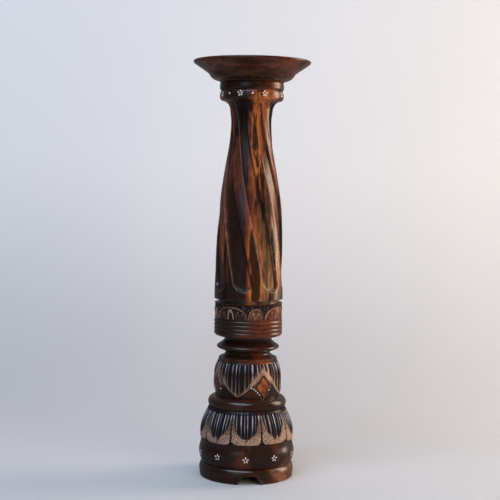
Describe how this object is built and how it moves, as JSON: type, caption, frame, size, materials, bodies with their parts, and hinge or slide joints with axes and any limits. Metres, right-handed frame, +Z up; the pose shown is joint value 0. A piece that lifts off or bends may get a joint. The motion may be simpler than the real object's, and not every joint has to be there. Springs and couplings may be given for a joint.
{
  "type": "candlestick",
  "caption": "Turned and carved wooden candlestick: flared dish with a spike, spiral-fluted column, reeded bands, carved bulb and domed base on an arched foot.",
  "frame": {"origin": "centre of the circle that the foot rests on", "axes": "+Z up along the axis that the wood was turned on, -Y towards the front, which has one foot arch just to the right of its middle"},
  "size_m": [0.1686, 0.1686, 0.604],
  "materials": {
    "dark_wood": "glossy dark stain over turned wood",
    "column_wood": "glossy red-brown stain with near-black streaks",
    "carved_wood": "dark stain rubbed back to pale wood on the carving's edges",
    "raw_wood": "plain sanded wood",
    "steel": "plain bright steel"
  },
  "bodies": {
    "root": {"foot_ring": "dark_wood", "lotus_base": "carved_wood", "torus_ring": "dark_wood", "lotus_bulb": "carved_wood", "waist_spool": "dark_wood", "reeded_band": "dark_wood", "carved_band": "carved_wood", "column": "column_wood", "neck_ring": "dark_wood", "drip_dish": "dark_wood", "core_dowel": "raw_wood", "spike_plate": "steel", "candle_spike": "steel", "plate_screw_1": "steel", "plate_screw_2": "steel", "plate_screw_3": "steel", "foot_screw_1": "steel", "foot_screw_2": "steel", "foot_screw_3": "steel", "base_screw": "steel", "base_washer": "steel"}
  },
  "joints": []
}
